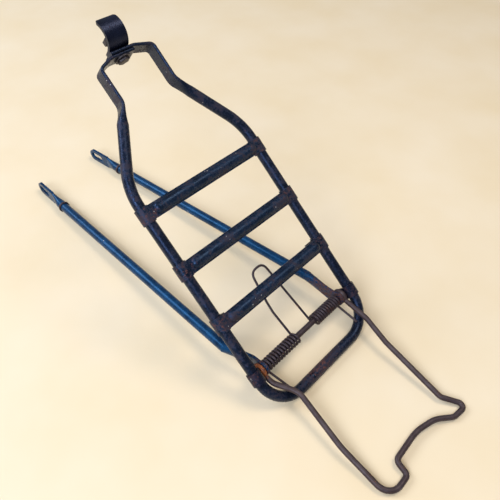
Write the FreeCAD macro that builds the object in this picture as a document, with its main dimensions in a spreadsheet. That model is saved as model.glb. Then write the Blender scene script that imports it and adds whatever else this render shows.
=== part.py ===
import FreeCAD, Part
import math
import os
from FreeCAD import Placement, Rotation, Vector

# Rear carrier of a bicycle, folded open on a table: a tubular platform, three pressed
# crossbars, a sprung wire bail at the rear, two folding stays and a clamp at the front.
#
# Row frame: +X to the carrier's right, +Y towards the clamp and the feet of the stays,
# +Z up, with the table at z = 0.  The platform is drawn flat, in its own frame (x, along,
# above) whose origin is the middle of the hinge rod, and is then tilted about the rod.

os.makedirs("parts", exist_ok=True)
doc = FreeCAD.newDocument("bicycle_carrier")
sheet = doc.addObject("Spreadsheet::Sheet", "Sizes")

SIZES = [
    # platform tube
    ("rail_spacing", 134.0),
    ("tube_dia", 10.0),
    ("tube_wall", 1.2),
    ("platform_tilt", 40.0),
    ("rail_rise", 6.05),
    ("rear_reach", 35.3),
    ("rear_bend", 30.0),
    ("shoulder_along", 188.0),
    ("shoulder_bend", 60.0),
    ("neck_along", 252.0),
    ("neck_half", 28.5),
    ("neck_bend", 12.0),
    ("flat_thick", 3.0),
    ("flat_height", 15.0),
    ("flat_taper", 14.0),
    ("flat_bend", 4.6),
    ("flat_overlap", 11.0),
    ("lap_gap", 0.1),
    ("lap_bow", 5.0),
    ("lap_flat", 13.0),
    ("lap_knee", 15.0),
    # crossbars
    ("bar_first", 55.0),
    ("shoulder_clear", 24.0),
    ("bar_pitch", "=(shoulder_along - shoulder_clear - bar_first) / 2"),
    ("bar_width", 13.0),
    ("bar_sheet", 1.2),
    ("collar_length", 14.5),
    ("collar_fit", 0.05),
    ("bead_radius", 5.6),
    ("bead_rise", 4.0),
    ("bead_end_gap", 12.0),
    ("tab_length", 7.0),
    # hinge
    ("strap_sheet", 1.3),
    ("strap_length", 12.0),
    ("lug_radius", 6.0),
    ("rod_dia", 5.5),
    ("rod_fit", 0.05),
    ("rivet_radius", 3.6),
    ("rivet_height", 1.4),
    ("side_gap", 0.35),
    # bail
    ("bail_wire", 5.0),
    ("bail_fit", 0.08),
    # spring
    ("spring_wire", 2.0),
    ("coil_radius", 5.25),
    ("coil_left_inner", 8.7),
    ("coil_right_inner", 17.0),
    # stays
    ("leg_dia", 10.0),
    ("leg_wall", 1.2),
    ("leg_left_length", 373.0),
    ("leg_right_length", 383.0),
    ("leg_left_line", 62.6),
    ("leg_right_line", 59.3),
    ("leg_splay", 3.0),
    ("eye_thick", 3.0),
    ("eye_height", 14.0),
    ("eye_flat", 12.0),
    ("eye_taper", 28.0),
    ("foot_thick", 3.0),
    ("foot_height", 14.5),
    ("foot_length", 34.0),
    ("foot_taper", 14.0),
    ("slot_length", 20.0),
    ("slot_width", 7.5),
    ("clip_wire", 1.2),
    ("clip_turns", 2.0),
    ("clip_back", 9.0),
    # clamp
    ("bolt_along", 290.0),
    ("bolt_side", -2.0),
    ("bolt_dia", 6.0),
    ("bolt_hole", 6.6),
    ("bolt_flats", 10.0),
    ("nut_flats", 12.0),
    ("head_height", 2.5),
    ("washer_dia", 15.0),
    ("washer_thick", 1.2),
    ("plate_width", 20.0),
    ("plate_thick", 2.5),
    ("plate_radius", 15.5),
    ("plate_sweep", 130.0),
    ("plate_tail", 9.0),
    ("plate_gap", 0.3),
    ("nut_height", 5.0),
    ("nut_gap", 6.0),
    ("bolt_tail", 2.0),
]
for row, (alias, value) in enumerate(SIZES, start=1):
    sheet.set("A%d" % row, alias)
    sheet.set("B%d" % row, str(value))
    sheet.setAlias("B%d" % row, alias)
doc.recompute()


def size(alias):
    return float(sheet.get(alias))


BAIL_BACK = 146.1

# Loop of the spring under the rear crossbar: (x, along the platform, bend radius).
HAIRPIN_BENDS = [
    (-11.8, 30.0, 60.0),
    (-8.0, 71.8, 6.5),
    (8.2, 72.0, 6.5),
]

tube_r = size("tube_dia") / 2
rail_x = size("rail_spacing") / 2
rail_rise = size("rail_rise")
rod_r = size("rod_dia") / 2
tilt = math.radians(size("platform_tilt"))

# Stack along the rod, outwards to inwards: strap lug, bail eye, stay eye, coil.
lug_outer = rail_x - tube_r - size("collar_fit")
lug_inner = lug_outer - size("strap_sheet")
bail_eye_x = lug_inner - size("side_gap") - size("bail_wire") / 2
leg_eye_x = bail_eye_x - size("bail_wire") / 2 - size("side_gap") - size("eye_thick") / 2
coil_outer = leg_eye_x - size("eye_thick") / 2 - size("side_gap") - size("spring_wire") / 2

# Bail outline as bend points (x, distance behind the rod, bend radius), left eye to right
# eye.  The wire is a little askew, as a bail that has been leaned on.
BAIL_BENDS = [
    (-bail_eye_x + 0.1, 15.5, 12.0),
    (-bail_eye_x + 10.4, 36.0, 18.0),
    (-bail_eye_x - 1.0, 91.0, 80.0),
    (-bail_eye_x - 4.7, 142.5, 13.0),
    (-37.5, 142.0, 4.2),
    (-34.5, 128.8, 5.0),
    (-2.0, 127.4, 50.0),
    (19.0, 133.2, 30.0),
    (33.0, 144.2, 10.0),
    (bail_eye_x - 6.3, 146.9, 4.0),
    (bail_eye_x - 17.6, 126.0, 6.0),
    (bail_eye_x - 8.8, 61.0, 30.0),
    (bail_eye_x - 1.2, 33.0, 25.0),
]

# The rear run of the tube lies on the table, and so do the feet and the bail.
rod_z = tube_r + size("rear_reach") * math.sin(tilt) - rail_rise * math.cos(tilt)
bail_drop = math.asin((rod_z - size("bail_wire") / 2) / BAIL_BACK)
foot_half = size("foot_height") / 2


def leg_drop_of(alias):
    """How far a stay must turn for its foot to lie on the table."""
    reach = size(alias) - foot_half
    return math.atan2(foot_half, reach) - math.asin(rod_z / math.hypot(reach, foot_half))


left_drop = leg_drop_of("leg_left_length")
right_drop = leg_drop_of("leg_right_length")

# The origin is under the middle of the outline.
rear_edge = BAIL_BACK * math.cos(bail_drop) + size("bail_wire") / 2
front_edge = max(
    (size("leg_left_length") - foot_half) * math.cos(left_drop),
    (size("leg_right_length") - foot_half) * math.cos(right_drop),
) + foot_half
rod_y = (rear_edge - front_edge) / 2
rod_centre = Vector(0, rod_y, rod_z)

on_platform = Placement(rod_centre, Rotation(Vector(1, 0, 0), size("platform_tilt")))
on_bail = Placement(rod_centre, Rotation(Vector(1, 0, 0), math.degrees(bail_drop)))
on_left_leg = Placement(rod_centre, Rotation(Vector(1, 0, 0), math.degrees(left_drop)))
on_right_leg = Placement(rod_centre, Rotation(Vector(1, 0, 0), math.degrees(right_drop)))

subparts = []


def finish(obj, label, placement):
    obj.Label = label
    obj.Placement = placement
    subparts.append(obj)
    return obj


def feature(label, shape, placement):
    obj = doc.addObject("Part::Feature", label)
    obj.Shape = shape
    return finish(obj, label, placement.multiply(shape.Placement))


def bound(kind, name, **formulas):
    obj = doc.addObject(kind, name)
    for prop, formula in formulas.items():
        obj.setExpression(prop, formula)
    return obj


def place(obj, x, along, above, rotation=None):
    obj.Placement = Placement(Vector(0, 0, 0), rotation or Rotation())
    obj.setExpression("Placement.Base.x", x)
    obj.setExpression("Placement.Base.y", along)
    obj.setExpression("Placement.Base.z", above)
    return obj


def combine(kind, name, *pieces):
    obj = doc.addObject(kind, name)
    if kind in ("Part::Cut", "Part::Common"):
        obj.Base, obj.Tool = pieces
    else:
        obj.Shapes = list(pieces)
    return obj


ALONG_X = Rotation(Vector(0, 1, 0), 90)
ALONG_Y = Rotation(Vector(1, 0, 0), -90)


def bent_path(points, radii):
    """A wire of straight runs joined by tangent arcs."""
    edges = []
    start = points[0]
    for before, corner, after, radius in zip(points, points[1:], points[2:], radii):
        back = (before - corner).normalize()
        ahead = (after - corner).normalize()
        half = (math.pi - back.getAngle(ahead)) / 2
        reach = radius * math.tan(half)
        arc_start = corner + back * reach
        arc_end = corner + ahead * reach
        centre = corner + (back + ahead).normalize() * (radius / math.cos(half))
        middle = centre + (corner - centre).normalize() * radius
        if (arc_start - start).Length > 1e-4:
            edges.append(Part.LineSegment(start, arc_start).toShape())
        edges.append(Part.Arc(arc_start, middle, arc_end).toShape())
        start = arc_end
    edges.append(Part.LineSegment(start, points[-1]).toShape())
    return Part.Wire(edges)


def sweep(path, profile):
    return path.makePipeShell([profile], True, False)


def round_wire(path, radius):
    """A round bar along a path."""
    first = path.OrderedEdges[0]
    start = first.valueAt(first.FirstParameter)
    heading = first.tangentAt(first.FirstParameter)
    return sweep(path, Part.Wire(Part.makeCircle(radius, start, heading)))


def ring_section(centre, heading, up, radius):
    """A circle in four arcs, to loft into a flat section."""
    side = heading.cross(up).normalize()
    corner = math.radians(55)

    def at(angle):
        return centre + side * (radius * math.cos(angle)) + up * (radius * math.sin(angle))

    stops = [-corner, corner, math.pi - corner, math.pi + corner, 2 * math.pi - corner]
    edges = [
        Part.Arc(at(a), at((a + b) / 2), at(b)).toShape() for a, b in zip(stops, stops[1:])
    ]
    return Part.Wire(edges)


def flat_section(centre, heading, up, thick, height):
    """A flattened tube: two flat sides and round edges."""
    side = heading.cross(up).normalize()
    half = thick / 2
    flat = height / 2 - half

    def at(across, above):
        return centre + side * across + up * above

    edges = [
        Part.LineSegment(at(half, -flat), at(half, flat)).toShape(),
        Part.Arc(at(half, flat), at(0, flat + half), at(-half, flat)).toShape(),
        Part.LineSegment(at(-half, flat), at(-half, -flat)).toShape(),
        Part.Arc(at(-half, -flat), at(0, -flat - half), at(half, -flat)).toShape(),
    ]
    return Part.Wire(edges)


# ---------------------------------------------------------------- platform tube
# One tube: two rails, a rear run, and front ends that turn in, are pressed flat and lap
# over each other at the clamp bolt.
UP = Vector(0, 0, 1)


def neck_parts(side):
    shoulder = Vector(side * rail_x, size("shoulder_along"), rail_rise)
    neck = Vector(side * size("neck_half"), size("neck_along"), rail_rise)
    slant = (neck - shoulder).normalize()
    half_turn = slant.getAngle(Vector(0, 1, 0)) / 2
    bend_start = neck - slant * (size("neck_bend") * math.tan(half_turn))
    tube_end = bend_start - slant * size("flat_taper")
    lap = side * (size("flat_thick") + size("lap_gap")) / 2
    front = size("bolt_along") + lap
    corner = Vector(side * size("neck_half"), front - size("lap_bow"), rail_rise)
    knee = Vector(size("bolt_side") + side * size("lap_flat"), front, rail_rise)
    tip = Vector(size("bolt_side") - side * size("flat_overlap"), front, rail_rise)
    ring = ring_section(tube_end, slant, UP, tube_r)
    flat = flat_section(bend_start, slant, UP, size("flat_thick"), size("flat_height"))
    taper = Part.makeLoft([ring, flat], True, False)
    bends = [size("neck_bend") * 0.999, size("flat_bend"), size("lap_knee")]
    path = bent_path([bend_start, neck, corner, knee, tip], bends)
    strip = sweep(path, flat)
    return shoulder, tube_end, taper, strip


def frame_tube():
    left_shoulder, left_end, left_taper, left_strip = neck_parts(-1)
    right_shoulder, right_end, right_taper, right_strip = neck_parts(1)
    rear = -size("rear_reach")
    points = [
        left_end,
        left_shoulder,
        Vector(-rail_x, rear, rail_rise),
        Vector(rail_x, rear, rail_rise),
        right_shoulder,
        right_end,
    ]
    # The shoulder's bend starts ahead of the front crossbar's collar.
    slant = (right_end - right_shoulder).getAngle(Vector(0, 1, 0))
    front_bar = size("bar_first") + 2 * size("bar_pitch")
    free = right_shoulder.y - front_bar - size("collar_length") / 2 - size("collar_fit")
    shoulder = min(size("shoulder_bend"), free / math.tan(slant / 2))
    bends = [shoulder, size("rear_bend"), size("rear_bend"), shoulder]
    path = bent_path(points, bends)
    outer = round_wire(path, tube_r)
    bore = round_wire(path, tube_r - size("tube_wall"))
    solid = outer.fuse([left_taper, left_strip]).fuse([right_taper, right_strip]).cut(bore)
    hole = Part.makeCylinder(
        size("bolt_hole") / 2,
        4 * size("flat_thick"),
        Vector(size("bolt_side"), size("bolt_along") - 2 * size("flat_thick"), rail_rise),
        Vector(0, 1, 0),
    )
    return solid.cut(hole).removeSplitter()


feature("frame_tube", frame_tube(), on_platform)


# ---------------------------------------------------------------- crossbars
# A pressed strip with a raised bead, wrapped round each rail, its ends tucked underneath.
def crossbar(label, station):
    level = "Sizes.rail_rise + Sizes.tube_dia / 2 + Sizes.collar_fit"
    strip = bound(
        "Part::Box", label + "_strip",
        Length="Sizes.rail_spacing", Width="Sizes.bar_width", Height="Sizes.bar_sheet",
    )
    place(strip, "-Sizes.rail_spacing / 2", "%s - Sizes.bar_width / 2" % station, level)

    bead_length = "Sizes.rail_spacing - 2 * Sizes.bead_end_gap"
    bead_centre = level + " + Sizes.bar_sheet + Sizes.bead_rise - Sizes.bead_radius"

    def bead_core(name, radius):
        bar = bound("Part::Cylinder", name + "_bar", Radius=radius, Height=bead_length)
        place(bar, "-(%s) / 2" % bead_length, station, bead_centre, ALONG_X)
        ends = []
        for tag, sign in (("a", "-"), ("b", "")):
            ball = bound("Part::Sphere", name + "_" + tag, Radius=radius)
            place(ball, "%s(%s) / 2" % (sign, bead_length), station, bead_centre)
            ends.append(ball)
        return combine("Part::MultiFuse", name, bar, *ends)

    roof = bound(
        "Part::Box", label + "_roof",
        Length="Sizes.rail_spacing", Width="4 * Sizes.bead_radius", Height="4 * Sizes.bead_radius",
    )
    place(roof, "-Sizes.rail_spacing / 2", "%s - 2 * Sizes.bead_radius" % station, level)
    bead = combine("Part::Common", label + "_bead", bead_core(label + "_outer", "Sizes.bead_radius"), roof)
    hollow = bead_core(label + "_inner", "Sizes.bead_radius - Sizes.bar_sheet")

    wraps = []
    bores = []
    for tag, sign in (("left", "-"), ("right", "")):
        centre = sign + "Sizes.rail_spacing / 2"
        start = "%s - Sizes.collar_length / 2" % station
        wrap = bound(
            "Part::Cylinder", label + "_wrap_" + tag,
            Radius="Sizes.tube_dia / 2 + Sizes.collar_fit + Sizes.bar_sheet",
            Height="Sizes.collar_length",
        )
        place(wrap, centre, start, "Sizes.rail_rise", ALONG_Y)
        tab = bound(
            "Part::Box", label + "_tab_" + tag,
            Length="Sizes.tube_dia / 2 + Sizes.tab_length",
            Width="Sizes.bar_width - 2", Height="Sizes.bar_sheet",
        )
        tab_start = centre if sign == "-" else centre + " - Sizes.tube_dia / 2 - Sizes.tab_length"
        place(
            tab, tab_start, "%s - Sizes.bar_width / 2 + 1" % station,
            "Sizes.rail_rise - Sizes.tube_dia / 2 - Sizes.collar_fit - Sizes.bar_sheet",
        )
        bore = bound(
            "Part::Cylinder", label + "_bore_" + tag,
            Radius="Sizes.tube_dia / 2 + Sizes.collar_fit", Height="Sizes.collar_length + 2",
        )
        place(bore, centre, start + " - 1", "Sizes.rail_rise", ALONG_Y)
        wraps += [wrap, tab]
        bores.append(bore)
    solid = combine("Part::MultiFuse", label + "_solid", strip, bead, *wraps)
    tools = combine("Part::MultiFuse", label + "_tools", hollow, *bores)
    finish(combine("Part::Cut", label, solid, tools), label, on_platform)


crossbar("crossbar_rear", "Sizes.bar_first")
crossbar("crossbar_middle", "(Sizes.bar_first + Sizes.bar_pitch)")
crossbar("crossbar_front", "(Sizes.bar_first + 2 * Sizes.bar_pitch)")


# ---------------------------------------------------------------- hinge straps and rod
# A strap goes over the rail and hangs down inside it as a lug, which carries the rod.
def hinge_strap(label, side):
    sign = "-" if side < 0 else ""
    centre = sign + "Sizes.rail_spacing / 2"
    lug_side = "Sizes.tube_dia / 2 + Sizes.collar_fit"
    low = "-Sizes.strap_length / 2"
    wrap = bound(
        "Part::Cylinder", label + "_wrap",
        Radius=lug_side + " + Sizes.strap_sheet", Height="Sizes.strap_length",
    )
    place(wrap, centre, low, "Sizes.rail_rise", ALONG_Y)
    lug_start = (
        "-Sizes.rail_spacing / 2 + " + lug_side
        if side < 0
        else "Sizes.rail_spacing / 2 - (%s) - Sizes.strap_sheet" % lug_side
    )
    lug = bound(
        "Part::Box", label + "_lug",
        Length="Sizes.strap_sheet", Width="Sizes.strap_length", Height="Sizes.rail_rise",
    )
    place(lug, lug_start, low, "0")
    lug_end = bound("Part::Cylinder", label + "_end", Radius="Sizes.lug_radius", Height="Sizes.strap_sheet")
    place(lug_end, lug_start, "0", "0", ALONG_X)
    solid = combine("Part::MultiFuse", label + "_solid", wrap, lug, lug_end)

    bore = bound("Part::Cylinder", label + "_bore", Radius=lug_side, Height="Sizes.strap_length + 2")
    place(bore, centre, low + " - 1", "Sizes.rail_rise", ALONG_Y)
    pin_hole = bound(
        "Part::Cylinder", label + "_pin_hole",
        Radius="Sizes.rod_dia / 2 + Sizes.rod_fit", Height="Sizes.strap_sheet + 2",
    )
    place(pin_hole, lug_start + " - 1", "0", "0", ALONG_X)
    mouth = bound(
        "Part::Box", label + "_mouth",
        Length="Sizes.tube_dia / 2 - 1", Width="Sizes.strap_length + 2", Height="Sizes.rail_rise",
    )
    mouth_start = (
        "-Sizes.rail_spacing / 2 + " + lug_side + " - Sizes.tube_dia / 2 + 1"
        if side < 0
        else "Sizes.rail_spacing / 2 - (%s)" % lug_side
    )
    place(mouth, mouth_start, low + " - 1", "-Sizes.strap_sheet")
    tools = combine("Part::MultiFuse", label + "_tools", bore, pin_hole, mouth)
    finish(combine("Part::Cut", label, solid, tools), label, on_platform)


hinge_strap("left_hinge_strap", -1)
hinge_strap("right_hinge_strap", 1)


def pivot_rod():
    span = "(Sizes.rail_spacing - Sizes.tube_dia - 2 * Sizes.collar_fit)"
    rod = bound("Part::Cylinder", "rod_bar", Radius="Sizes.rod_dia / 2", Height=span)
    place(rod, "-%s / 2" % span, "0", "0", ALONG_X)
    heads = []
    for tag, sign, turn in (("left", "-", -90), ("right", "", 90)):
        head = bound(
            "Part::Cone", "rod_head_" + tag,
            Radius1="Sizes.rivet_radius", Radius2="Sizes.rivet_radius / 2",
            Height="Sizes.rivet_height",
        )
        place(head, "%s%s / 2" % (sign, span), "0", "0", Rotation(Vector(0, 1, 0), turn))
        heads.append(head)
    finish(combine("Part::MultiFuse", "pivot_rod", rod, *heads), "pivot_rod", on_platform)


pivot_rod()


# ---------------------------------------------------------------- bail
# A bent wire with an eye at each end, swinging on the rod outside the stays.
def bail():
    wire_r = size("bail_wire") / 2
    eye_r = rod_r + size("bail_fit") + wire_r
    points = [Vector(-bail_eye_x, -eye_r, 0)]
    points += [Vector(x, -back, 0) for x, back, radius in BAIL_BENDS]
    points.append(Vector(bail_eye_x, -eye_r, 0))
    rod_wire = round_wire(bent_path(points, [bend[2] for bend in BAIL_BENDS]), wire_r)
    eyes = [
        Part.makeTorus(eye_r, wire_r, Vector(side * bail_eye_x, 0, 0), Vector(1, 0, 0))
        for side in (-1, 1)
    ]
    joints = [Part.makeSphere(wire_r, points[0]), Part.makeSphere(wire_r, points[-1])]
    return rod_wire.fuse(eyes + joints)


feature("bail", bail(), on_bail)


# ---------------------------------------------------------------- double torsion spring
# Two coils on the rod, each the sleeve that its turns fill, joined by a loop under the rear
# crossbar; their outer ends run back under the arms of the bail.
def spring():
    wire_r = size("spring_wire") / 2
    radius = size("coil_radius")
    inner_angle = tilt - math.pi / 2
    outer_angle = bail_drop - math.pi / 2

    half_wall = wire_r + 0.1

    def coil(start_x, end_x):
        length = end_x - start_x
        start = Vector(start_x, 0, 0)
        sleeve = Part.makeCylinder(radius + half_wall, length, start, Vector(1, 0, 0))
        return sleeve.cut(Part.makeCylinder(radius - half_wall, length, start, Vector(1, 0, 0)))

    def ring_point(x, angle):
        return Vector(x, radius * math.cos(angle), radius * math.sin(angle))

    left = coil(-coil_outer - wire_r, -size("coil_left_inner") + wire_r)
    right = coil(size("coil_right_inner") - wire_r, coil_outer + wire_r)
    along = Vector(0, math.cos(tilt), math.sin(tilt))
    back = Vector(0, -math.cos(bail_drop), -math.sin(bail_drop))
    lift = Vector(0, -math.sin(bail_drop), math.cos(bail_drop))
    base = ring_point(0, inner_angle)
    loop = [ring_point(-size("coil_left_inner"), inner_angle)]
    loop += [base + Vector(x, 0, 0) + along * s for x, s, bend in HAIRPIN_BENDS]
    loop.append(ring_point(size("coil_right_inner"), inner_angle))
    pieces = [right, round_wire(bent_path(loop, [b[2] for b in HAIRPIN_BENDS]), wire_r)]
    for side, reach, knee_x, tip_x in ((-1, 37, 2.0, 4.0), (1, 28, 0.7, 1.2)):
        root = ring_point(side * coil_outer, outer_angle)
        knee = root + back * 18 + Vector(knee_x, 0, 0) + lift * 0.5
        tip = root + back * reach + Vector(tip_x, 0, 0) + lift * 0.5
        pieces.append(round_wire(bent_path([root, knee, tip], [40]), wire_r))
    return left.fuse(pieces)


feature("torsion_spring", spring(), Placement(rod_centre, Rotation()))


# ---------------------------------------------------------------- stays
# A tube pressed flat at the top for the rod and at the foot for the slotted bolt eye.
def leg_frame(side):
    line = size("leg_left_line") if side < 0 else size("leg_right_line")
    splay = math.radians(size("leg_splay"))
    heading = Vector(-side * math.sin(splay), math.cos(splay), 0)

    def axis_at(along):
        return Vector(side * (line - along * math.tan(splay)), along, 0)

    return heading, axis_at


def leg_length(side):
    return size("leg_left_length") if side < 0 else size("leg_right_length")


def leg_tube_end(side):
    return leg_length(side) - size("foot_length") - size("foot_taper")


def leg(side):
    heading, axis_at = leg_frame(side)
    eye = Vector(side * leg_eye_x, 0, 0)
    straight = Vector(0, 1, 0)
    taper_start = eye + straight * size("eye_flat")
    tube_start = axis_at(size("eye_flat") + size("eye_taper"))
    tube_stop = axis_at(leg_tube_end(side))
    foot_start = axis_at(leg_length(side) - size("foot_length"))
    leg_r = size("leg_dia") / 2

    eye_section = flat_section(taper_start, straight, UP, size("eye_thick"), size("eye_height"))
    top_taper = Part.makeLoft([eye_section, ring_section(tube_start, heading, UP, leg_r)], True, False)
    eye_plate = Part.Face(eye_section).extrude(straight * -size("eye_flat"))
    eye_round = Part.makeCylinder(
        size("eye_height") / 2, size("eye_thick"),
        eye - Vector(size("eye_thick") / 2, 0, 0), Vector(1, 0, 0),
    )
    run = (tube_stop - tube_start).Length
    tube = Part.makeCylinder(leg_r, run, tube_start, heading)
    bore = Part.makeCylinder(leg_r - size("leg_wall"), run, tube_start, heading)

    foot_section = flat_section(foot_start, heading, UP, size("foot_thick"), size("foot_height"))
    foot_taper = Part.makeLoft([ring_section(tube_stop, heading, UP, leg_r), foot_section], True, False)

    across = heading.cross(UP).normalize()
    thick = size("foot_thick")

    def long_hole(centre, reach, radius, depth):
        """An upright oblong plate with round ends."""
        one = centre - heading * reach
        two = centre + heading * reach
        edges = [
            Part.LineSegment(one + UP * radius, two + UP * radius).toShape(),
            Part.Arc(two + UP * radius, two + heading * radius, two - UP * radius).toShape(),
            Part.LineSegment(two - UP * radius, one - UP * radius).toShape(),
            Part.Arc(one - UP * radius, one - heading * radius, one + UP * radius).toShape(),
        ]
        face = Part.Face(Part.Wire(edges))
        face.translate(across * (-depth / 2))
        return face.extrude(across * depth)

    tip = foot_start + heading * size("foot_length")
    plate_reach = size("foot_length") / 2
    plate = long_hole(tip - heading * (foot_half + plate_reach), plate_reach, foot_half, thick)
    keep = Part.makeBox(60, size("foot_length") + 20, 40)
    keep.Placement = Placement(
        foot_start - across * 30 - UP * 20, Rotation(Vector(0, 1, 0), heading)
    )
    plate = plate.common(keep)
    slot_reach = (size("slot_length") - size("slot_width")) / 2
    slot_centre = tip - heading * (foot_half - size("slot_width") / 2 + size("slot_length") / 2)
    slot = long_hole(slot_centre, slot_reach, size("slot_width") / 2, 4 * thick)
    pin_hole = Part.makeCylinder(
        rod_r + size("rod_fit"), 4 * size("eye_thick"),
        eye - Vector(2 * size("eye_thick"), 0, 0), Vector(1, 0, 0),
    )
    solid = tube.fuse([top_taper, eye_plate, eye_round, foot_taper, plate])
    return solid.cut([bore, slot, pin_hole]).removeSplitter()


feature("left_leg", leg(-1), on_left_leg)
feature("right_leg", leg(1), on_right_leg)


# A thin wire clip wound round each stay just above its foot.
def foot_clip(side):
    heading, axis_at = leg_frame(side)
    wire_r = size("clip_wire") / 2
    radius = size("leg_dia") / 2 + 0.1 + wire_r
    turns = [
        Part.makeTorus(radius, wire_r, Vector(0, 0, turn * 0.9 * size("clip_wire")), Vector(0, 0, 1))
        for turn in range(int(size("clip_turns")))
    ]
    solid = turns[0].fuse(turns[1:])
    start = axis_at(leg_tube_end(side) - size("clip_back"))
    solid.Placement = Placement(start, Rotation(Vector(0, 0, 1), heading))
    return solid


feature("left_foot_clip", foot_clip(-1), on_left_leg)
feature("right_foot_clip", foot_clip(1), on_right_leg)


# ---------------------------------------------------------------- clamp
# A bolt through the lapped strips, its head behind them, and a curved plate in front.
STRIP_BACK = "(Sizes.bolt_along - Sizes.flat_thick - Sizes.lap_gap / 2)"
STRIP_FRONT = "(Sizes.bolt_along + Sizes.flat_thick + Sizes.lap_gap / 2)"
PLATE_FRONT = "(%s + Sizes.plate_gap + Sizes.plate_thick)" % STRIP_FRONT


def clamp_washer():
    disc = bound("Part::Cylinder", "washer_disc", Radius="Sizes.washer_dia / 2", Height="Sizes.washer_thick")
    place(disc, "Sizes.bolt_side", STRIP_BACK + " - Sizes.washer_thick", "Sizes.rail_rise", ALONG_Y)
    hole = bound(
        "Part::Cylinder", "washer_hole",
        Radius="Sizes.bolt_hole / 2", Height="Sizes.washer_thick + 2",
    )
    place(hole, "Sizes.bolt_side", STRIP_BACK + " - Sizes.washer_thick - 1", "Sizes.rail_rise", ALONG_Y)
    finish(combine("Part::Cut", "clamp_washer", disc, hole), "clamp_washer", on_platform)


def clamp_bolt():
    head_back = STRIP_BACK + " - Sizes.washer_thick - Sizes.head_height"
    head = bound(
        "Part::Prism", "bolt_head",
        Circumradius="Sizes.bolt_flats / 2 / cos(30)", Height="Sizes.head_height",
    )
    head.Polygon = 6
    place(head, "Sizes.bolt_side", head_back, "Sizes.rail_rise", ALONG_Y)
    end = PLATE_FRONT + " + Sizes.nut_gap + Sizes.nut_height + Sizes.bolt_tail"
    shank = bound(
        "Part::Cylinder", "bolt_shank",
        Radius="Sizes.bolt_dia / 2", Height="%s - (%s)" % (end, head_back),
    )
    place(shank, "Sizes.bolt_side", head_back, "Sizes.rail_rise", ALONG_Y)
    finish(combine("Part::MultiFuse", "clamp_bolt", head, shank), "clamp_bolt", on_platform)


def clamp_nut():
    start = PLATE_FRONT + " + Sizes.nut_gap"
    body = bound(
        "Part::Prism", "nut_body",
        Circumradius="Sizes.nut_flats / 2 / cos(30)", Height="Sizes.nut_height",
    )
    body.Polygon = 6
    place(body, "Sizes.bolt_side", start, "Sizes.rail_rise", ALONG_Y)
    hole = bound(
        "Part::Cylinder", "nut_hole",
        Radius="Sizes.bolt_dia / 2 + Sizes.rod_fit", Height="Sizes.nut_height + 2",
    )
    place(hole, "Sizes.bolt_side", start + " - 1", "Sizes.rail_rise", ALONG_Y)
    finish(combine("Part::Cut", "clamp_nut", body, hole), "clamp_nut", on_platform)


def clamp_plate():
    """Flat round the bolt, then curled forwards in an arc."""
    outer = size("plate_radius")
    inner = outer - size("plate_thick")
    tail = size("plate_tail")
    half = size("plate_width") / 2
    sweep_angle = math.radians(size("plate_sweep"))

    def arc_at(radius, angle):
        return Vector(-half, outer - radius * math.cos(angle), radius * math.sin(angle))

    edges = [
        Part.LineSegment(Vector(-half, 0, -tail), arc_at(outer, 0)).toShape(),
        Part.Arc(arc_at(outer, 0), arc_at(outer, sweep_angle / 2), arc_at(outer, sweep_angle)).toShape(),
        Part.LineSegment(arc_at(outer, sweep_angle), arc_at(inner, sweep_angle)).toShape(),
        Part.Arc(arc_at(inner, sweep_angle), arc_at(inner, sweep_angle / 2), arc_at(inner, 0)).toShape(),
        Part.LineSegment(arc_at(inner, 0), Vector(-half, size("plate_thick"), -tail)).toShape(),
        Part.LineSegment(Vector(-half, size("plate_thick"), -tail), Vector(-half, 0, -tail)).toShape(),
    ]
    solid = Part.Face(Part.Wire(edges)).extrude(Vector(2 * half, 0, 0))
    tail_edges = []
    tip_edges = []
    tip_middle = (arc_at(outer, sweep_angle) + arc_at(inner, sweep_angle)) * 0.5
    for edge in solid.Edges:
        middle = edge.CenterOfMass
        if edge.Length > size("plate_thick") * 1.01:
            continue
        if abs(middle.z + tail) < 0.01:
            tail_edges.append(edge)
        elif (Vector(-half, middle.y, middle.z) - tip_middle).Length < 0.01:
            tip_edges.append(edge)
    solid = solid.makeFillet(min(0.45 * size("plate_width"), 0.85 * tail), tail_edges)
    solid = solid.makeFillet(2.5, [e for e in solid.Edges if any(
        (e.CenterOfMass - t.CenterOfMass).Length < 0.01 for t in tip_edges)])
    hole = Part.makeCylinder(
        size("bolt_hole") / 2, 4 * size("plate_thick"), Vector(0, -size("plate_thick"), 0), Vector(0, 1, 0)
    )
    solid = solid.cut(hole)
    front = size("bolt_along") + size("flat_thick") + size("lap_gap") / 2 + size("plate_gap")
    solid.translate(Vector(size("bolt_side"), front, rail_rise))
    return solid


clamp_washer()
clamp_bolt()
feature("clamp_plate", clamp_plate(), on_platform)
clamp_nut()

# ---------------------------------------------------------------- checks and export
doc.recompute()
for obj in doc.Objects:
    if "Invalid" in obj.State or "Error" in obj.State:
        raise RuntimeError("%s failed to compute: %s" % (obj.Label, obj.State))
for obj in subparts:
    shape = obj.Shape
    if shape.isNull() or not shape.isValid() or len(shape.Solids) != 1:
        raise RuntimeError("%s is not one valid solid" % obj.Label)
for obj in subparts:
    obj.Shape.exportStep("parts/%s.step" % obj.Label)
    box = obj.Shape.BoundBox
    print(
        "%-20s %9.1f mm3  x %7.1f %7.1f  y %7.1f %7.1f  z %7.1f %7.1f"
        % (obj.Label, obj.Shape.Volume, box.XMin, box.XMax, box.YMin, box.YMax, box.ZMin, box.ZMax)
    )
print("rod centre y %.2f z %.2f" % (rod_y, rod_z))
drops = [math.degrees(angle) for angle in (bail_drop, left_drop, right_drop)]
print("drops: bail %.3f left %.3f right %.3f" % tuple(drops))
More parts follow.
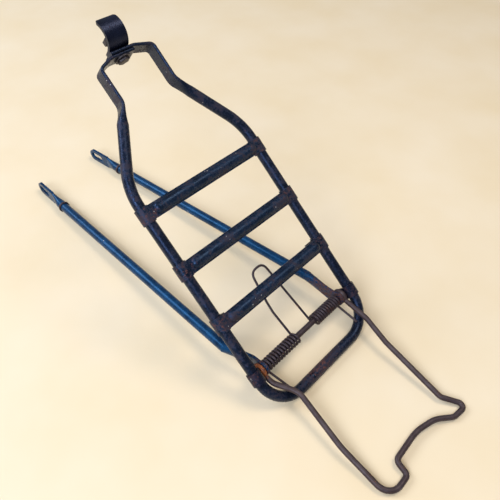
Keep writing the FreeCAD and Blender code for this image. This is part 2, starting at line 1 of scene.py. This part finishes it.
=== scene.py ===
import math
import bpy
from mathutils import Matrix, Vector


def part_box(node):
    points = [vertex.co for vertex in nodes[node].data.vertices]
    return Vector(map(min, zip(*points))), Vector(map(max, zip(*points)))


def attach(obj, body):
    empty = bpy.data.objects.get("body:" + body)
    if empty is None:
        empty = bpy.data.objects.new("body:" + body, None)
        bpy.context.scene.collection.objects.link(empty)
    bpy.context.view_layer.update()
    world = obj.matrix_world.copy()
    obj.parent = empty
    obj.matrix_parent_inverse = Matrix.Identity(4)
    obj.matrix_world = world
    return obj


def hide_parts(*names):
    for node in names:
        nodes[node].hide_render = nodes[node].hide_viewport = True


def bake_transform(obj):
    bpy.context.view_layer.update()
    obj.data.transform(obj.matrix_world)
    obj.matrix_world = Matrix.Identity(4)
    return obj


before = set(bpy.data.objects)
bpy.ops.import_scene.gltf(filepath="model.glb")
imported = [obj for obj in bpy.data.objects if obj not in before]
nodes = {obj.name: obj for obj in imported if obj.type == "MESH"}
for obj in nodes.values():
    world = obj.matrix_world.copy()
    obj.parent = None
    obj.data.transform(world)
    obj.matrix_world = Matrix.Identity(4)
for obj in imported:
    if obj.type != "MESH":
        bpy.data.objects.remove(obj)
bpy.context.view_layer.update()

# Sockets of the colour mixer, which have no names of their own.
MIX_AMOUNT, MIX_UNDER, MIX_OVER, MIX_COLOUR = 0, 6, 7, 2
DAMP_CORE = 0.25
FLECK_CORE = 0.4
CHIP_SIZE = 0.13
CHIP_RARITY = 0.62
PRIMER = "#b9b6b4"


# ---------------------------------------------------------------------------
# The nodes and coats that every material below is put together from.
def linear(code):
    """An sRGB hex colour as the linear colour that the shader wants."""
    parts = [int(code[i:i + 2], 16) / 255 for i in (1, 3, 5)]
    lit = [p / 12.92 if p <= 0.04045 else ((p + 0.055) / 1.055) ** 2.4 for p in parts]
    return lit + [1.0]


def add(tree, kind, settings=None, links=None, ramp=None, **props):
    """Adds a node: its socket values, the sockets that feed it, its ramp's stops, its properties."""
    node = tree.nodes.new(kind)
    for name, value in props.items():
        setattr(node, name, value)
    for socket, value in (settings or {}).items():
        node.inputs[socket].default_value = value
    for socket, source in (links or {}).items():
        tree.links.new(source, node.inputs[socket])
    for number, (place, colour) in enumerate(ramp or []):
        elements = node.color_ramp.elements
        stop = elements[number] if number < 2 else elements.new(place)
        stop.position = place
        stop.color = linear(colour) if isinstance(colour, str) else (colour, colour, colour, 1)
    return node


def new_material(name):
    """An empty material, its node tree and the place of a point on the piece."""
    made = bpy.data.materials.new(name)
    made.use_nodes = True
    tree = made.node_tree
    tree.nodes.clear()
    return made, tree, add(tree, "ShaderNodeTexCoord").outputs["Object"]


def shifted(tree, where, seed):
    """Moves the pattern, so that no two materials show the same patches."""
    offset = (seed, seed * 0.37, seed * 0.61)
    return add(
        tree, "ShaderNodeMapping", {"Location": offset}, {"Vector": where}).outputs["Vector"]


def noise(tree, at, scale, detail, roughness):
    sockets = {"Scale": scale, "Detail": detail, "Roughness": roughness}
    return add(tree, "ShaderNodeTexNoise", sockets, {"Vector": at}).outputs["Fac"]


def calculate(tree, operation, links, values=None, **props):
    return add(
        tree, "ShaderNodeMath", values, links, operation=operation, **props).outputs[0]


def fade(tree, amount, low_stop, high_stop):
    return add(
        tree, "ShaderNodeValToRGB", None, {"Fac": amount}, [low_stop, high_stop]).outputs["Color"]


def threshold(tree, amount, start, width):
    """Black below start and white once it is passed by the width."""
    return fade(tree, amount, (start, 0.0), (start + width, 1.0))


def coat(tree, base, colour, amount):
    """Lays a plain colour over the base where amount is high."""
    sockets = {MIX_OVER: linear(colour)}
    links = {MIX_AMOUNT: amount, MIX_UNDER: base}
    return add(
        tree, "ShaderNodeMix", sockets, links, data_type="RGBA").outputs[MIX_COLOUR]


def nearness(tree, where, place, reach, core, strength):
    """Nothing beyond the reach of a place, and full strength within its core, a share of it."""
    gap = add(
        tree, "ShaderNodeVectorMath", {1: place}, {0: where}, operation="DISTANCE").outputs["Value"]
    sockets = {"From Min": reach, "From Max": reach * core, "To Max": strength}
    return add(tree, "ShaderNodeMapRange", sockets, {"Value": gap}).outputs[0]


def surface(tree, settings, links):
    shader = add(tree, "ShaderNodeBsdfPrincipled", settings, links)
    add(tree, "ShaderNodeOutputMaterial", None, {"Surface": shader.outputs["BSDF"]})


def relief(tree, height, strength, depth):
    sockets = {"Strength": strength, "Distance": depth}
    return add(tree, "ShaderNodeBump", sockets, {"Height": height}).outputs["Normal"]


# ---------------------------------------------------------------------------
# Platform tube: 10 mm cold-drawn steel tube, bent to a loop, its two ends
# squeezed flat in a press and lapped at the clamp bolt.  Dipped in black
# stoving enamel, now rubbed through to brown steel and freckled with rust.
def old_enamel(
        name, enamel, painted_sheen, worn, rust, painted_sky_gleam, bare_share, rust_share, seed,
        rusty_places=(), chips=1.0):
    """Old black enamel on steel: glossy where it is whole, matt and brown where it is rubbed, with
    patches of painted bluish sheen.
    """
    made, tree, where = new_material(name)
    at = shifted(tree, where, seed)
    # Rubbed patches, which also place the painted sheen, are 10 to 30 mm across, blisters 2 mm,
    # freckles and grit under 1 mm.
    patches = noise(tree, at, 70, 6, 0.65)
    blisters = noise(tree, at, 420, 4, 0.7)
    grit = noise(tree, at, 1500, 2, 0.6)
    # Rust creeps out from the places that hold water, each a point, a reach and a strength.
    damp = None
    for place, reach, strength in rusty_places:
        near = nearness(tree, where, place, reach, DAMP_CORE, strength)
        damp = near if damp is None else calculate(tree, "MAXIMUM", {0: damp, 1: near})
    rub = calculate(tree, "MULTIPLY", {0: patches}, {1: 0.62})
    rub = calculate(tree, "MULTIPLY_ADD", {0: blisters, 2: rub}, {1: 0.38})
    pitted = calculate(tree, "MULTIPLY", {0: grit}, {1: 0.45})
    pitted = calculate(tree, "MULTIPLY_ADD", {0: blisters, 2: pitted}, {1: 0.55})
    if damp is not None:
        rub = calculate(tree, "ADD", {0: rub, 1: damp})
        pitted = calculate(tree, "ADD", {0: pitted, 1: damp})
    bare = threshold(tree, rub, bare_share, 0.08)
    freckles = threshold(tree, pitted, rust_share, 0.07)
    # Painted sheen: the patches blend the enamel into a lighter bluish colour, a reflection painted
    # into the base colour.
    enamel_with_painted_sheen = fade(tree, patches, (0.35, enamel), (0.65, painted_sheen))
    base = coat(tree, enamel_with_painted_sheen, worn, bare)
    base = coat(tree, base, rust, freckles)
    # Chips under a millimetre show the pale primer.
    cells = add(
        tree, "ShaderNodeTexVoronoi", {"Scale": 260}, {"Vector": at}).outputs["Distance"]
    chance = calculate(tree, "MULTIPLY", {0: patches}, {1: chips})
    chip = calculate(tree, "LESS_THAN", {0: cells}, {1: CHIP_SIZE})
    chosen = calculate(tree, "GREATER_THAN", {0: chance}, {1: CHIP_RARITY})
    chip = calculate(tree, "MULTIPLY", {0: chip, 1: chosen})
    base = coat(tree, base, PRIMER, chip)
    gloss = calculate(tree, "MULTIPLY_ADD", {0: blisters}, {1: 0.30, 2: 0.12})
    gloss = calculate(tree, "MULTIPLY_ADD", {0: bare, 2: gloss}, {1: 0.28})
    gloss = calculate(
        tree, "MULTIPLY_ADD", {0: freckles, 2: gloss}, {1: 0.25}, use_clamp=True)
    depth = calculate(tree, "MULTIPLY_ADD", {0: bare, 2: pitted}, {1: -0.6})
    bump = relief(tree, depth, 0.55, 0.0004)
    # The specular tint paints the lamps' reflections blue, a painted sky colour on the highlights.
    surface(
        tree, {"IOR": 1.52, "Metallic": 0.0, "Specular Tint": linear(painted_sky_gleam)},
        {"Base Color": base, "Roughness": gloss, "Normal": bump})
    return made


def paint(obj, finish):
    obj.data.materials.clear()
    obj.data.materials.append(finish)


rod_low, rod_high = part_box("pivot_rod")
rod = (Vector(rod_low) + Vector(rod_high)) / 2
lean = math.radians(40)
along_platform = Vector((0, math.cos(lean), math.sin(lean)))
tube_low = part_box("frame_tube")[0]
rear_run = Vector((0.0, tube_low[1] + 0.008, 0.006))
# Its second colour is a painted bluish sheen on the black enamel, and its last colour tints the
# highlights a painted sky blue.
platform_enamel = old_enamel(
    "worn_black_stoving_enamel", "#0b0c11", "#151e2f", "#2e272b", "#6a4030", "#86a4e2",
    0.50, 0.615, 0.0,
    [(rear_run + Vector((-0.012, 0.004, 0)), 0.030, 0.12),
     (rod + Vector((-0.067, 0.02, 0)), 0.03, 0.05)])
paint(nodes["frame_tube"], platform_enamel)


# ---------------------------------------------------------------------------
# Crossbars and hinge straps: 1.2 mm strip pressed to a raised bead, its ends
# rolled round the rails.  Loads rubbed their crests, and water sat in the
# rolled ends, so those are browner than the tube.
collar_inset = 0.94
collar_places = []
for name in ("crossbar_rear", "crossbar_middle", "crossbar_front"):
    low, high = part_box(name)
    middle = (Vector(low) + Vector(high)) / 2
    for side in (low[0], high[0]):
        collar_places.append((Vector((side * collar_inset, middle.y, middle.z)), 0.024, 0.07))
# Its second colour is a painted bluish sheen on the black enamel, and its last colour tints the
# highlights a painted sky blue.
bar_enamel = old_enamel(
    "rubbed_black_stoving_enamel", "#0b0e15", "#16273c", "#30272a", "#694032", "#86b0f0",
    0.51, 0.61, 1.3, collar_places, 1.06)
for name in ("crossbar_rear", "crossbar_middle", "crossbar_front"):
    paint(nodes[name], bar_enamel)
# Its second colour is a painted bluish sheen on the black enamel, and its last colour tints the
# highlights a painted sky blue.
strap_enamel = old_enamel(
    "rusty_black_stoving_enamel", "#0d0c13", "#181b2a", "#2d1f20", "#74412a", "#8ea4dc",
    0.50, 0.59, 2.2)
for name in ("left_hinge_strap", "right_hinge_strap"):
    paint(nodes[name], strap_enamel)


# ---------------------------------------------------------------------------
# Stays: the same tube, but the enamel's base colours are dark blue, a painted sky reflection,
# and they hung low behind the wheel and kept more of their gloss, with a brighter painted sky-blue
# tint on their highlights.
stay_enamel_painted_sky_blue = old_enamel(
    "glossy_enamel_painted_sky_blue", "#091f38", "#103a5e", "#241d26", "#5c3a2a", "#62b4f7",
    0.60, 0.64, 3.1,
    [(rod + Vector((-0.053, 0.0, 0)), 0.035, 0.14), (rod + Vector((0.053, 0.008, 0)), 0.055, 0.17)])
paint(nodes["left_leg"], stay_enamel_painted_sky_blue)
paint(nodes["right_leg"], stay_enamel_painted_sky_blue)


# ---------------------------------------------------------------------------
# Bail and rod: 5 mm hard-drawn steel wire and bar, never painted, brown with
# an even skin of rust that hands have rubbed smooth.
def browned_steel(
        name, steel, brown, orange, orange_share, seed, metallic, rusty_places=()):
    """Bare steel under clouds of brown rust, with orange flecks."""
    made, tree, where = new_material(name)
    at = shifted(tree, where, seed)
    # Clouds of rust are 8 mm across, its grains under 1 mm.
    clouds = noise(tree, at, 120, 6, 0.7)
    grit = noise(tree, at, 1300, 3, 0.7)
    skin = fade(tree, clouds, (0.36, steel), (0.62, brown))
    both = calculate(tree, "MULTIPLY", {0: clouds}, {1: 0.5})
    both = calculate(tree, "MULTIPLY_ADD", {0: grit, 2: both}, {1: 0.5})
    share = both
    for place, reach, strength in rusty_places:
        near = nearness(tree, where, place, reach, FLECK_CORE, strength)
        share = calculate(tree, "ADD", {0: share, 1: near})
    flecks = threshold(tree, share, orange_share, 0.10)
    base = coat(tree, skin, orange, flecks)
    rough = calculate(tree, "MULTIPLY_ADD", {0: grit}, {1: 0.4, 2: 0.28}, use_clamp=True)
    bump = relief(tree, both, 0.6, 0.0003)
    surface(
        tree, {"Metallic": metallic},
        {"Base Color": base, "Roughness": rough, "Normal": bump})
    return made


bail_eye_x = 0.0578
left_eye = rod + Vector((-bail_eye_x, 0, 0))
bail_steel = browned_steel(
    "rust_browned_drawn_wire", "#4a3d40", "#35272a", "#b0622c", 0.60, 1.7, 0.35,
    [(left_eye, 0.011, 0.3)])
spring_steel = browned_steel(
    "rust_browned_spring_wire", "#42363c", "#2c2228", "#7d4a35", 0.56, 5.3, 0.35)
paint(nodes["bail"], bail_steel)
paint(nodes["pivot_rod"], spring_steel)


# ---------------------------------------------------------------------------
# Double torsion spring: spring wire wound on the rod, twelve open turns to
# the left and eleven to the right.  The loop between them hooks under the
# rear crossbar, and the outer tails push the bail's arms down.
coil_radius = 0.0051
wire_gauge = 0.0023
loop_left_x = -0.0087
loop_right_x = 0.0170
bail_drop = math.radians(8.088)
tail_way = Vector((0, -math.cos(bail_drop), -math.sin(bail_drop)))
tail_lift = Vector((0, -math.sin(bail_drop), math.cos(bail_drop)))
tail_rise = 0.0002
tail_bend = 0.018
loop_angle = lean - math.pi / 2
tail_angle = bail_drop - math.pi / 2


def round_rod(angle):
    """The place on the coil's own circle, seen along the rod."""
    return coil_radius * math.cos(angle), coil_radius * math.sin(angle)


def start_wire(name, place):
    """A wire begins as one point, which is then wound or drawn out."""
    bpy.ops.object.select_all(action="DESELECT")
    bpy.ops.mesh.primitive_plane_add(size=0.001, location=place)
    wire = bpy.context.object
    wire.name = name
    bpy.ops.object.mode_set(mode="EDIT")
    bpy.ops.mesh.select_all(action="SELECT")
    bpy.ops.mesh.merge(type="CENTER")
    return wire


def draw_out(steps):
    """Extrudes the wire's last point by each step in turn."""
    for step in steps:
        bpy.ops.mesh.extrude_region_move(TRANSFORM_OT_translate={"value": tuple(step)})


def wind(wire, start, axis, angle, rise, steps):
    """Moves the point to its start beside the axis and winds it round, rising as it goes."""
    bpy.ops.transform.translate(value=start)
    bpy.ops.object.mode_set(mode="OBJECT")
    winding = wire.modifiers.new("winding", "SCREW")
    winding.axis = axis
    winding.angle = angle
    winding.screw_offset = rise
    winding.steps = winding.render_steps = steps
    winding.use_merge_vertices = False
    bpy.ops.object.modifier_apply(modifier="winding")


def finish_wire(wire, gauge):
    """Gives the drawn line its round section."""
    bpy.ops.object.mode_set(mode="OBJECT")
    bpy.ops.object.transform_apply(location=True, rotation=True, scale=True)
    bpy.ops.object.convert(target="CURVE")
    wire = bpy.context.object
    wire.data.bevel_depth = gauge / 2
    wire.data.bevel_resolution = 2
    wire.data.use_fill_caps = True
    bpy.ops.object.convert(target="MESH")
    wire = bpy.context.object
    bpy.ops.object.mode_set(mode="EDIT")
    bpy.ops.mesh.select_all(action="SELECT")
    bpy.ops.mesh.remove_doubles(threshold=0.00001)
    bpy.ops.mesh.normals_make_consistent(inside=False)
    bpy.ops.object.mode_set(mode="OBJECT")
    bpy.ops.object.shade_smooth_by_angle(angle=math.radians(50))
    return wire


def wound_coil(name, inner_x, outer_x, turns, knee, tip, tail):
    """A coil wound about the rod from the loop outwards, and its tail beside the bail's arm."""
    wire = start_wire(name, rod)
    hand = 1 if inner_x < 0 else -1
    sweep = (tail_angle - loop_angle) - hand * turns * 2 * math.pi
    wind(wire, (inner_x, *round_rod(loop_angle)), "X", sweep, outer_x - inner_x, int(turns * 24))
    outer = max(wire.data.vertices, key=lambda v: abs(v.co.x))
    for vertex in wire.data.vertices:
        vertex.select = vertex.index == outer.index
    bpy.ops.object.mode_set(mode="EDIT")
    for length, steps, sideways in ((tail_bend, 3, knee), (tail - tail_bend, 3, tip - knee)):
        reach = tail_way * length + Vector((sideways, 0, 0)) + tail_lift * tail_rise
        draw_out([reach / steps] * steps)
    return finish_wire(wire, wire_gauge)


# Each coil: its inner and outer end along the rod, its turns, then how far its tail stands
# aside at the bend and at the tip, and the tail's length.
left_coil = wound_coil("left_spring_coil", loop_left_x, -0.0506, 12, 0.0020, 0.0040, 0.037)
right_coil = wound_coil("right_spring_coil", loop_right_x, 0.0504, 11, -0.0003, -0.0006, 0.028)
# On the real carrier the bail turns the outer end of each coil and the carrier holds the inner one;
# here each coil is only painted and baked in place, and its listed ends are not read.
for coil, inner, outer in (
        (left_coil, loop_left_x, -0.0460), (right_coil, loop_right_x, 0.0500)):
    paint(coil, spring_steel)
    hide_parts("torsion_spring")
    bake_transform(coil)

# The loop between the coils: straight out along the platform, once round, and back.
root = rod + Vector((0, *round_rod(loop_angle)))
loop_points = [
    (loop_left_x, 0.0), (-0.0098, 0.012), (-0.0108, 0.022), (-0.0116, 0.030),
    (-0.0112, 0.040), (-0.0100, 0.052), (-0.0086, 0.0645), (-0.0082, 0.0670),
    (-0.0071, 0.0692), (-0.0053, 0.0708), (-0.0031, 0.0716), (0.0002, 0.0719),
    (0.0033, 0.0718), (0.0054, 0.0711), (0.0073, 0.0696), (0.0084, 0.0676),
    (0.0089, 0.0648), (0.0105, 0.052), (0.0132, 0.030), (0.0152, 0.014),
    (loop_right_x, 0.0),
]
loop_route = [root + Vector((x, 0, 0)) + along_platform * s for x, s in loop_points]
loop = start_wire("spring_loop", loop_route[0])
draw_out([b - a for a, b in zip(loop_route, loop_route[1:])])
loop = finish_wire(loop, wire_gauge)
paint(loop, spring_steel)
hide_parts("torsion_spring")
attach(loop, "carrier")


# ---------------------------------------------------------------------------
# Foot clips: 1.2 mm wire wound three times round each stay above its foot, as
# a tie for a lamp lead.  It has the same brown skin as the spring.
splay = math.radians(3)
clip_gauge = 0.0012
clip_radius = 0.00565
clip_length = 0.0022
clip_turns = 3
foot_drops = {"left": math.radians(-2.478), "right": math.radians(-2.412)}
for name, side in (("left", -1), ("right", 1)):
    clip_low, clip_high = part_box(name + "_foot_clip")
    centre = (Vector(clip_low) + Vector(clip_high)) / 2
    clip = start_wire(name + "_wire_clip", (0, 0, 0))
    wind(
        clip, (0, -0.0010, clip_radius), "Y", math.radians(clip_turns * 360), clip_length,
        clip_turns * 28)
    clip.rotation_euler = (foot_drops[name], 0, side * splay)
    clip.location = centre
    clip = finish_wire(clip, clip_gauge)
    paint(clip, spring_steel)
    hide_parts(name + "_foot_clip")
    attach(clip, name + "_stay")


# ---------------------------------------------------------------------------
# Clamp: a 6 mm bolt, washer and nut of plain steel, and a strip of 2.5 mm
# steel curled to go round the frame's bridge, enamelled like the rest.
# Its second colour is a painted bluish sheen on the black enamel, and its last colour tints the
# highlights a painted sky blue.
clamp_enamel = old_enamel(
    "scuffed_black_stoving_enamel", "#0a0a10", "#151827", "#1e181c", "#6b4030", "#8fa2e0",
    0.56, 0.64, 6.4)
paint(nodes["clamp_plate"], clamp_enamel)
bolt_steel = browned_steel("weathered_bolt_steel", "#3f3a40", "#2a2426", "#6b4430", 0.61, 8.9, 0.45)
paint(nodes["clamp_washer"], bolt_steel)

# The bolt is cold-headed, 10 mm across its flats, and its thread is rolled, 1 mm
# to a turn.  The nut is 12 mm across its flats.  Both have their corners turned off.
# Places along the bolt are measured from the middle of the nut.
bolt_flats, head_height, head_back = 0.010, 0.0025, 0.01985
nut_flats, nut_height = 0.012, 0.005
shank_radius, shank_back, shank_out = 0.0026, 0.0195, 0.0045
thread_radius, thread_gauge, thread_pitch = 0.00262, 0.0007, 0.001
thread_turns, thread_out = 14, 0.0038
bore_radius, bore_reach = 0.00305, 0.01
face_inset = 0.0007
corner_from, corner_height = 1.12, 0.82
nut_low, nut_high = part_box("clamp_nut")
nut_middle = (Vector(nut_low) + Vector(nut_high)) / 2


def soften(made, width):
    """Rounds the edges of the piece that was made last and smooths its shading."""
    rounded = made.modifiers.new("soften", "BEVEL")
    rounded.width = width
    rounded.segments = 2
    rounded.limit_method = "ANGLE"
    bpy.ops.object.modifier_apply(modifier="soften")
    bpy.ops.object.shade_smooth_by_angle(angle=math.radians(35))


def hexagon(name, across_flats, depth, place):
    """A hexagonal head whose corners are turned off at both faces."""
    bpy.ops.object.select_all(action="DESELECT")
    bpy.ops.mesh.primitive_cylinder_add(
        vertices=6, radius=across_flats / 2 / math.cos(math.pi / 6), depth=depth,
        end_fill_type="NGON", location=(0, 0, 0))
    made = bpy.context.object
    made.name = name
    bpy.ops.object.mode_set(mode="EDIT")
    bpy.ops.mesh.select_all(action="DESELECT")
    bpy.ops.mesh.select_mode(type="FACE")
    bpy.ops.object.mode_set(mode="OBJECT")
    for face in made.data.polygons:
        face.select = abs(face.normal.z) > 0.9
    bpy.ops.object.mode_set(mode="EDIT")
    bpy.ops.mesh.inset(thickness=face_inset, depth=0.0)
    bpy.ops.object.mode_set(mode="OBJECT")
    for vertex in made.data.vertices:
        if math.hypot(vertex.co.x, vertex.co.y) > across_flats / 2 * corner_from:
            vertex.co.z *= corner_height
    made.rotation_euler = (lean - math.pi / 2, 0, 0)
    made.location = place
    bpy.ops.object.transform_apply(location=True, rotation=True, scale=True)
    soften(made, 0.0002)
    return made


def rod_along_bolt(name, radius, start, end):
    bpy.ops.object.select_all(action="DESELECT")
    bpy.ops.mesh.primitive_cylinder_add(
        vertices=32, radius=radius, depth=(end - start).length, location=(start + end) / 2,
        rotation=(lean - math.pi / 2, 0, 0))
    made = bpy.context.object
    made.name = name
    bpy.ops.object.transform_apply(location=True, rotation=True, scale=True)
    soften(made, 0.0005)
    return made


def join(name, parts):
    bpy.ops.object.select_all(action="DESELECT")
    for part in parts:
        part.select_set(True)
    bpy.context.view_layer.objects.active = parts[0]
    bpy.ops.object.join()
    bpy.context.object.name = name
    return bpy.context.object


head = hexagon(
    "bolt_head", bolt_flats, head_height, nut_middle - along_platform * head_back)
shank = rod_along_bolt(
    "bolt_shank", shank_radius,
    nut_middle - along_platform * shank_back, nut_middle + along_platform * shank_out)
thread = start_wire("bolt_thread", nut_middle + along_platform * thread_out)
wind(
    thread, (0, 0, thread_radius), "Y", math.radians(thread_turns * 360),
    -thread_turns * thread_pitch, thread_turns * 20)
thread.rotation_euler = (lean, 0, 0)
thread = finish_wire(thread, thread_gauge)
bolt = join("threaded_bolt", [head, shank, thread])
nut = hexagon("plain_nut", nut_flats, nut_height, nut_middle)
drill = rod_along_bolt(
    "drill", bore_radius,
    nut_middle - along_platform * bore_reach, nut_middle + along_platform * bore_reach)
drilled = nut.modifiers.new("drilled", "BOOLEAN")
drilled.operation = "DIFFERENCE"
drilled.object = drill
bpy.ops.object.select_all(action="DESELECT")
bpy.context.view_layer.objects.active = nut
nut.select_set(True)
bpy.ops.object.modifier_apply(modifier="drilled")
bpy.ops.object.shade_smooth_by_angle(angle=math.radians(35))
bpy.data.objects.remove(drill)
for piece, node, body in ((bolt, "clamp_bolt", "carrier"), (nut, "clamp_nut", "nut")):
    paint(piece, bolt_steel)
    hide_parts(node)
    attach(piece, body)


# ---------------------------------------------------------------------------
# Table, light and camera: a plain pale top, lit by two soft windows, one beyond
# the carrier and one to its left, and by a warm lamp overhead in a dim room.
bpy.ops.object.select_all(action="DESELECT")
bpy.ops.mesh.primitive_plane_add(size=6, location=(0, 0, 0))
table = bpy.context.object
table.name = "table_top"
top, tree, where = new_material("pale_matt_table")
mottle = add(
    tree, "ShaderNodeTexNoise", {"Scale": 9, "Detail": 3}, {"Vector": where}).outputs["Fac"]
tone = fade(tree, mottle, (0.3, "#e8d3ae"), (0.7, "#ecdabb"))
surface(tree, {"Roughness": 0.7}, {"Base Color": tone})
paint(table, top)

world = bpy.data.worlds.new("room")
bpy.context.scene.world = world
world.use_nodes = True
background = world.node_tree.nodes["Background"]
background.inputs["Color"].default_value = linear("#dfe8f6")
background.inputs["Strength"].default_value = 0.35

aim = Vector((0, 0, 0.08))
for name, place, size, energy, colour in (
    ("far_window", (-0.9, 1.5, 1.5), 1.1, 32, "#e6efff"),
    ("left_window", (-1.5, -0.5, 1.4), 1.0, 34, "#e6efff"),
    ("ceiling_lamp", (0.7, -0.4, 2.0), 0.8, 15, "#fff0da"),
):
    bpy.ops.object.light_add(type="AREA", location=place)
    lamp = bpy.context.object
    lamp.name = name
    lamp.data.size = size
    lamp.data.energy = energy
    lamp.data.color = linear(colour)[:3]
    lamp.rotation_euler = (aim - lamp.location).to_track_quat("-Z", "Y").to_euler()

bpy.ops.object.camera_add(
    location=(-0.25554, -0.28262, 0.44215),
    rotation=[math.radians(a) for a in (43.733, -0.878, -47.010)],
)
camera = bpy.context.object
camera.name = "viewpoint"
camera.data.sensor_width = 36
camera.data.lens = 40.05
camera.data.clip_start = 0.01
camera.data.shift_x = -0.0017
camera.data.shift_y = 0.0015
bpy.context.scene.camera = camera
bpy.context.scene.view_settings.view_transform = "Standard"
